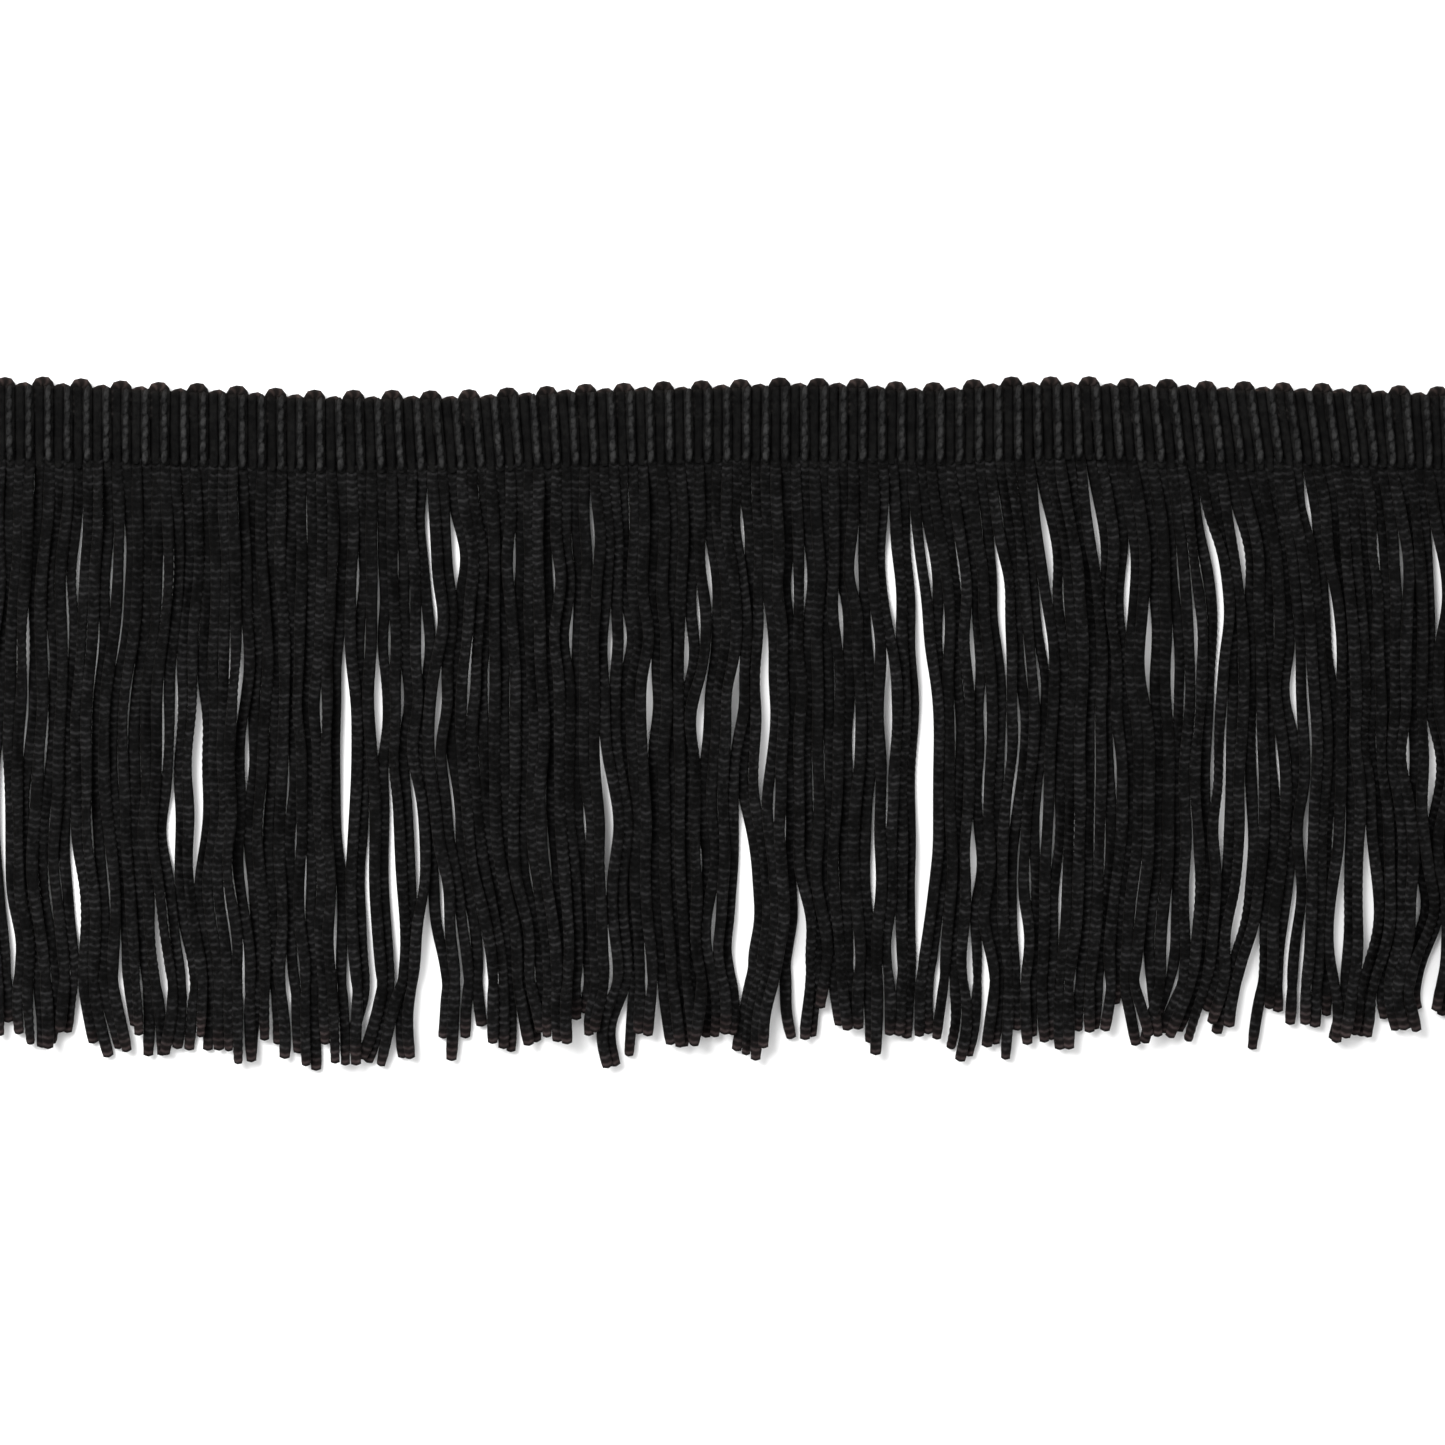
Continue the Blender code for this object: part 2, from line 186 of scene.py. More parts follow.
def knitAlong(stitch, path, sizes, tilts, pitch, count=0, apart=False):
    # stitches repeated end to end and bent along a path, with a size and a tilt at each point;
    # without a count they go all along the path, and they are knitted together unless kept apart
    line = bpy.data.curves.new("line", "CURVE")
    line.dimensions = "3D"
    line.twist_mode = "Z_UP"
    spline = line.splines.new("POLY")
    spline.points.add(len(path) - 1)
    for point, place, size, tilt in zip(spline.points, path, sizes, tilts):
        point.co = (place[0] * mm, place[1] * mm, place[2] * mm, 1)
        point.radius = size
        point.tilt = tilt
    guide = bpy.data.objects.new("guide", line)
    scene.collection.objects.link(guide)
    yarn = stitch.copy()
    yarn.data = stitch.data.copy()
    scene.collection.objects.link(yarn)
    repeat = yarn.modifiers.new("repeat", "ARRAY")
    if count:
        repeat.fit_type = "FIXED_COUNT"
        repeat.count = count
    else:
        repeat.fit_type = "FIT_CURVE"
        repeat.curve = guide
    repeat.use_relative_offset = False
    repeat.use_constant_offset = True
    repeat.constant_offset_displace = (pitch * mm, 0, 0)
    repeat.use_merge_vertices = not apart
    repeat.merge_threshold = grip["join"] * mm
    bend = yarn.modifiers.new("bend", "CURVE")
    bend.object = guide
    pickOnly(yarn)
    bpy.ops.object.modifier_apply(modifier="repeat")
    bpy.ops.object.modifier_apply(modifier="bend")
    bpy.data.objects.remove(guide)
    bpy.data.curves.remove(line)
    return yarn


def joinPieces(parts, name):
    # one piece out of many, with every open end closed and all faces outwards
    pickOnly(parts[0])
    for part in parts:
        part.select_set(True)
    bpy.ops.object.join()
    piece = bpy.context.object
    piece.name = name
    piece.data.name = name
    bpy.ops.object.mode_set(mode="EDIT")
    bpy.ops.mesh.select_all(action="SELECT")
    bpy.ops.mesh.fill_holes(sides=0)
    bpy.ops.mesh.select_all(action="SELECT")
    bpy.ops.mesh.normals_make_consistent(inside=False)
    bpy.ops.object.mode_set(mode="OBJECT")
    return piece


# The camera looks straight down on the middle of the trim, as the photograph does
cameraSetup = {"frame": 212.5, "lens": 90, "sensor": 36, "trimHeight": 1.3}


def makeCamera():
    data = bpy.data.cameras.new("camera")
    data.lens = cameraSetup["lens"]
    data.sensor_width = cameraSetup["sensor"]
    data.sensor_fit = "HORIZONTAL"
    data.clip_start = 0.01
    camera = bpy.data.objects.new("camera", data)
    # the frame is as wide as the photograph shows, at the height of the strands
    away = cameraSetup["frame"] * cameraSetup["lens"] / cameraSetup["sensor"]
    camera.location = (0, 0, (away + cameraSetup["trimHeight"]) * mm)
    scene.collection.objects.link(camera)
    scene.camera = camera


makeCamera()
print("camera stands over the trim")


# Materials: black rayon, with its twisted threads, its fuzz and its browned ends, and painted
# shade in its creases
yarnLooks = {
    "weft": {"dark": (0.0024, 0.0023, 0.0023), "light": (0.0076, 0.0074, 0.0071),
             "brown": (0.028, 0.020, 0.016), "threads": 9,
             "roughness": 0.60, "specular": 0.06, "sheen": 0.0},
    "loop": {"dark": (0.0032, 0.0028, 0.0027), "light": (0.0110, 0.0096, 0.0090),
             "brown": (0.068, 0.045, 0.040), "threads": 6,
             "roughness": 0.65, "specular": 0.06, "sheen": 0.02},
    "binding": {"dark": (0.0038, 0.0038, 0.0039), "light": (0.0215, 0.0213, 0.0212),
                "brown": (0.030, 0.022, 0.018), "threads": 9,
                "roughness": 0.55, "specular": 0.10, "sheen": 0.0},
    "strand": {"dark": (0.0014, 0.0014, 0.0015), "light": (0.0165, 0.0162, 0.0168),
               "brown": (0.052, 0.035, 0.034), "threads": 6,
               "roughness": 0.60, "specular": 0.05, "sheen": 0.016},
}
# What all the yarns share; the noise scales are per metre
yarnSurface = {"slowScale": 420, "slowDetail": 3, "fineScale": 1600, "fineDetail": 2,
               "spread": (0.17, 0.35), "creaseShadeFull": 0.6, "creaseShadeTone": 0.18,
               "shadeTones": (0.65, 1.35), "threadSlant": 35, "threadBend": 1.5,
               "bump": 0.6, "bumpDepth": 0.08, "fuzzSpread": 0.5, "fuzzTint": (1.0, 0.9, 0.82)}


def makeYarnGroup():
    # tone and height of a twisted yarn: fine threads along it, and slow changes from yarn to yarn
    group = bpy.data.node_groups.new("yarnSurface", "ShaderNodeTree")
    face = group.interface
    face.new_socket("Dark", in_out="INPUT", socket_type="NodeSocketColor")
    face.new_socket("Light", in_out="INPUT", socket_type="NodeSocketColor")
    face.new_socket("Brown", in_out="INPUT", socket_type="NodeSocketColor")
    face.new_socket("Thread Scale", in_out="INPUT", socket_type="NodeSocketFloat")
    face.new_socket("Tone", in_out="OUTPUT", socket_type="NodeSocketColor")
    face.new_socket("Height", in_out="OUTPUT", socket_type="NodeSocketFloat")
    nodes, links = group.nodes, group.links
    given = nodes.new("NodeGroupInput")
    out = nodes.new("NodeGroupOutput")
    place = nodes.new("ShaderNodeTexCoord")
    slow = nodes.new("ShaderNodeTexNoise")
    slow.inputs["Scale"].default_value = yarnSurface["slowScale"]
    slow.inputs["Detail"].default_value = yarnSurface["slowDetail"]
    fine = nodes.new("ShaderNodeTexNoise")
    fine.inputs["Scale"].default_value = yarnSurface["fineScale"]
    fine.inputs["Detail"].default_value = yarnSurface["fineDetail"]
    links.new(place.outputs["Object"], slow.inputs["Vector"])
    links.new(place.outputs["Object"], fine.inputs["Vector"])
    both = nodes.new("ShaderNodeMath")
    both.operation = "MULTIPLY"
    links.new(slow.outputs["Fac"], both.inputs[0])
    links.new(fine.outputs["Fac"], both.inputs[1])
    spread = nodes.new("ShaderNodeMapRange")
    spread.inputs["From Min"].default_value = yarnSurface["spread"][0]
    spread.inputs["From Max"].default_value = yarnSurface["spread"][1]
    links.new(both.outputs[0], spread.inputs["Value"])
    tone = nodes.new("ShaderNodeMix")
    tone.data_type = "RGBA"
    links.new(spread.outputs["Result"], tone.inputs["Factor"])
    links.new(given.outputs["Dark"], tone.inputs["A"])
    links.new(given.outputs["Light"], tone.inputs["B"])
    worn = nodes.new("ShaderNodeAttribute")
    worn.attribute_name = "worn"
    patchy = nodes.new("ShaderNodeMath")
    patchy.operation = "MULTIPLY"
    links.new(worn.outputs["Fac"], patchy.inputs[0])
    links.new(slow.outputs["Fac"], patchy.inputs[1])
    ends = nodes.new("ShaderNodeMix")
    ends.data_type = "RGBA"
    links.new(patchy.outputs[0], ends.inputs["Factor"])
    links.new(tone.outputs["Result"], ends.inputs["A"])
    links.new(given.outputs["Brown"], ends.inputs["B"])
    # creases are painted darker, painted shade; each yarn has its own tone, with painted shade
    # and painted light added to it in places
    paintedCreaseShade = nodes.new("ShaderNodeAttribute")
    paintedCreaseShade.attribute_name = "paintedCreaseShade"
    creaseShadeFactor = nodes.new("ShaderNodeMapRange")
    creaseShadeFactor.inputs["From Min"].default_value = 0.0
    creaseShadeFactor.inputs["From Max"].default_value = yarnSurface["creaseShadeFull"]
    creaseShadeFactor.inputs["To Min"].default_value = 1.0
    creaseShadeFactor.inputs["To Max"].default_value = yarnSurface["creaseShadeTone"]
    links.new(paintedCreaseShade.outputs["Fac"], creaseShadeFactor.inputs["Value"])
    toneAndShade = nodes.new("ShaderNodeAttribute")
    toneAndShade.attribute_name = "toneAndShade"
    lighter = nodes.new("ShaderNodeMapRange")
    lighter.inputs["To Min"].default_value = yarnSurface["shadeTones"][0]
    lighter.inputs["To Max"].default_value = yarnSurface["shadeTones"][1]
    links.new(toneAndShade.outputs["Fac"], lighter.inputs["Value"])
    share = nodes.new("ShaderNodeMath")
    share.operation = "MULTIPLY"
    links.new(creaseShadeFactor.outputs["Result"], share.inputs[0])
    links.new(lighter.outputs["Result"], share.inputs[1])
    shaded = nodes.new("ShaderNodeVectorMath")
    shaded.operation = "SCALE"
    links.new(ends.outputs["Result"], shaded.inputs["Vector"])
    links.new(share.outputs[0], shaded.inputs["Scale"])
    links.new(shaded.outputs["Vector"], out.inputs["Tone"])
    # threads run aslant over each stitch, on the stitch's own UV map
    turned = nodes.new("ShaderNodeMapping")
    turned.inputs["Rotation"].default_value = (0, 0, math.radians(yarnSurface["threadSlant"]))
    bands = nodes.new("ShaderNodeTexWave")
    bands.inputs["Distortion"].default_value = yarnSurface["threadBend"]
    bands.inputs["Detail"].default_value = 1
    links.new(place.outputs["UV"], turned.inputs["Vector"])
    links.new(turned.outputs["Vector"], bands.inputs["Vector"])
    links.new(given.outputs["Thread Scale"], bands.inputs["Scale"])
    height = nodes.new("ShaderNodeMath")
    height.operation = "ADD"
    links.new(bands.outputs["Fac"], height.inputs[0])
    links.new(fine.outputs["Fac"], height.inputs[1])
    links.new(height.outputs[0], out.inputs["Height"])
    return group


def makeYarnMaterial(name, looks, group):
    material = bpy.data.materials.new(name)
    material.use_nodes = True
    nodes, links = material.node_tree.nodes, material.node_tree.links
    shader = nodes["Principled BSDF"]
    surface = nodes.new("ShaderNodeGroup")
    surface.node_tree = group
    for socket in ("Dark", "Light", "Brown"):
        surface.inputs[socket].default_value = (*looks[socket.lower()], 1)
    surface.inputs["Thread Scale"].default_value = looks["threads"]
    links.new(surface.outputs["Tone"], shader.inputs["Base Color"])
    bump = nodes.new("ShaderNodeBump")
    bump.inputs["Strength"].default_value = yarnSurface["bump"]
    bump.inputs["Distance"].default_value = yarnSurface["bumpDepth"] * mm
    links.new(surface.outputs["Height"], bump.inputs["Height"])
    links.new(bump.outputs["Normal"], shader.inputs["Normal"])
    shader.inputs["Roughness"].default_value = looks["roughness"]
    shader.inputs["Specular IOR Level"].default_value = looks["specular"]
    shader.inputs["Sheen Weight"].default_value = looks["sheen"]
    shader.inputs["Sheen Roughness"].default_value = yarnSurface["fuzzSpread"]
    shader.inputs["Sheen Tint"].default_value = (*yarnSurface["fuzzTint"], 1)
    return material


yarnGroup = makeYarnGroup()
weftMaterial = makeYarnMaterial("headingWeft", yarnLooks["weft"], yarnGroup)
loopMaterial = makeYarnMaterial("edgeLoops", yarnLooks["loop"], yarnGroup)
bindingMaterial = makeYarnMaterial("bindingThread", yarnLooks["binding"], yarnGroup)
strandMaterial = makeYarnMaterial("strandChainette", yarnLooks["strand"], yarnGroup)
print("yarns have their finishes")


def finishPiece(piece, material, nodes):
    piece.data.materials.clear()
    piece.data.materials.append(material)
    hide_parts(*nodes)
    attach(piece, "root")


# The band: upright wefts side by side, ropes of binding thread over every second one
band = {
    "columnPitch": trim["ribPitch"] / 2,
    "topGap": 1.0,
    "ribDrop": 0.45,  # how far below that the ribs start, under the loops
    "footLength": 2.0,
    "sway": 0.06,
    "swayTurns": 5,
    "steps": 12,
    "tilt": 0.1,
    "wornFrom": 1.0,
    "wornOver": 2.0,
}
# The smooth ribs, and those that carry a rope; each sinks and narrows at its foot
# the smooth ribs' colour is painted darker, painted shade between the ropes, and the roped ribs'
# lighter, painted light along the rope columns
smoothRib = {"z": 0.93, "sink": 0.13, "size": 1, "narrow": 0.25, "toneAndShade": (0.0, 0.35)}
ropedRib = {"z": 1.40, "sink": 0.5, "size": 0.84, "narrow": 0.2, "toneAndShade": (0.75, 1.0)}


def makeRib(stitch, make, column, x, top, foot, lean, rng):
    sway = rng.uniform(-band["sway"], band["sway"])
    drop = band["ribDrop"]
    path, sizes = [], []
    for step in range(band["steps"] + 1):
        share = step / band["steps"]
        y = top - drop + (foot - top + drop) * share
        # each rib sinks and narrows over its foot until it is level with the strands
        sink = np.clip(1 - (y - foot) / band["footLength"], 0, 1)
        path.append((x + lean * share + sway * math.sin(share * band["swayTurns"] + column), y,
                     make["z"] - make["sink"] * sink))
        sizes.append(make["size"] - make["narrow"] * sink)
    tilts = [rng.uniform(-band["tilt"], band["tilt"])] * len(path)
    rib = knitAlong(stitch, path, sizes, tilts, weftStitch["pitch"])
    setShare(rib, "worn", (pointsOf(rib)[:, 1] - (top - band["wornFrom"])) / band["wornOver"])
    # each rib's own tone, with painted shade on the smooth ribs and painted light on the roped
    # ones
    setShare(rib, "toneAndShade", rng.uniform(*make["toneAndShade"]))
    return rib


# A rope lies on every second rib, from just under the loops down to the strands
rope = {"top": 0.5, "foot": 0.1, "uneven": 0.12, "steps": 14, "z": 2.0, "unevenZ": 0.04,
        "wander": 0.07, "sink": 0.55, "sizes": (0.82, 0.98), "swell": 0.12, "tilt": 0.15,
        "ownShade": 0.55, "fade": 0.45, "wornFrom": 1.2, "wornOver": 2.5}


def makeRope(beadUnit, x, top, foot, lean, rng):
    steps = rope["steps"]
    start = top - rope["top"] + rng.uniform(-rope["uneven"], rope["uneven"])
    end = foot + rope["foot"] + rng.uniform(-rope["uneven"], rope["uneven"])
    path = []
    for step in range(steps + 1):
        share = step / steps
        y = start + (end - start) * share
        sink = np.clip(1 - (y - end) / band["footLength"], 0, 1)
        path.append((x + lean * share + rng.uniform(-rope["wander"], rope["wander"]), y,
                     rope["z"] + rng.uniform(-rope["unevenZ"], rope["unevenZ"])
                     - rope["sink"] * sink))
    sizes = [rng.uniform(*rope["sizes"]) + rope["swell"] * step / steps
             for step in range(steps + 1)]
    tilts = [rng.uniform(-rope["tilt"], rope["tilt"])] * (steps + 1)
    beads = knitAlong(beadUnit, path, sizes, tilts, (start - end) / bead["count"],
                      bead["count"], True)
    along = pointsOf(beads)[:, 1]
    setShare(beads, "worn", (along - (top - rope["wornFrom"])) / rope["wornOver"])
    # a rope's colour is darker in its upper half and lighter towards its foot
    down = (start - along) / (start - end)
    setShare(beads, "toneAndShade", rng.uniform(0.0, rope["ownShade"]) + rope["fade"] * down)
    return beads


# Along the top edge a high loop and a low one take turns
loopEdge = {
    "period": 2 * trim["ribPitch"],
    "first": 1.5 * trim["ribPitch"] - 0.2,
    "reach": 0.94,
    "reaches": (0.94, 1.04),
    "sizes": (0.94, 1.0),
    "leg": 4.0,
    "legSteps": 3,
    "turnSteps": 12,
    "crown": 0.82,  # from the middle of the yarn to its outer edge
    "z": 1.12,
    "unevenTop": (-0.12, 0.08),
    "unevenX": 0.1,
    "tilt": 0.1,
    "lowDrop": 0.82,
    "lowReach": 1.2,
    "lowSink": 0.3,
    "worn": 1.7,
}


def makeLoop(stitch, x, top, reach, z, size, rng):
    # the weft where it turns over at the top edge and goes down again
    centre = top - loopEdge["crown"] * size - reach
    leg, steps, turn = loopEdge["leg"], loopEdge["legSteps"], loopEdge["turnSteps"]
    path = [(x - reach, centre - leg * (steps - s) / steps, z) for s in range(steps)]
    for step in range(turn + 1):
        angle = math.pi * (1 - step / turn)
        path.append((x + reach * math.cos(angle), centre + reach * math.sin(angle), z))
    path += [(x + reach, centre - leg * (s + 1) / steps, z) for s in range(steps)]
    tilts = [rng.uniform(-loopEdge["tilt"], loopEdge["tilt"])] * len(path)
    loop = knitAlong(stitch, path, [size] * len(path), tilts, chainStitch["pitch"])
    setShare(loop, "worn", (pointsOf(loop)[:, 1] - (top - loopEdge["worn"])) / loopEdge["worn"])
    setShare(loop, "toneAndShade", rng.random())
    return loop


def makeHeading():
    rng = random.Random(trim["seed"])
    stitch = makeStitch("weftStitch", weftStitch)
    looped = makeStitch("loopStitch", loopStitch)
    beadUnit = makeBead()
    wefts, ropes, loops = [], [], []
    for column in range(trim["ribs"] * 2):
        x = (column + 0.5) * band["columnPitch"] - trim["length"] / 2
        isRoped = column % 2 == 1
        top = edgeAt(1, x) - band["topGap"]
        foot = edgeAt(2, x)
        lean = edgeAt(3, x)
        kind = ropedRib if isRoped else smoothRib
        wefts.append(makeRib(stitch, kind, column, x, top, foot, lean, rng))
        if isRoped:
            ropes.append(makeRope(beadUnit, x, top, foot, lean, rng))
    pairs = int((trim["length"] - loopEdge["first"]) / loopEdge["period"] * 2) + 1
    for index in range(-1, pairs):
        x = loopEdge["first"] + index * loopEdge["period"] / 2 - trim["length"] / 2
        low = index % 2
        top = edgeAt(1, x) - loopEdge["lowDrop"] * low + rng.uniform(*loopEdge["unevenTop"])
        reach = loopEdge["reach"] * rng.uniform(*loopEdge["reaches"])
        reach = reach * (loopEdge["lowReach"] if low else 1.0)
        aside = rng.uniform(-loopEdge["unevenX"], loopEdge["unevenX"])
        size = rng.uniform(*loopEdge["sizes"])
        loops.append(makeLoop(looped, x + aside, top, reach,
                              loopEdge["z"] - loopEdge["lowSink"] * low, size, rng))
    for unit in (stitch, looped, beadUnit):
        bpy.data.objects.remove(unit)
    finishPiece(joinPieces(wefts, "heading_wefts"), weftMaterial, ["heading"])
    finishPiece(joinPieces(ropes, "heading_ropes"), bindingMaterial, ["heading"])
    finishPiece(joinPieces(loops, "heading_loops"), loopMaterial, ["heading"])


makeHeading()
print("heading is knitted")


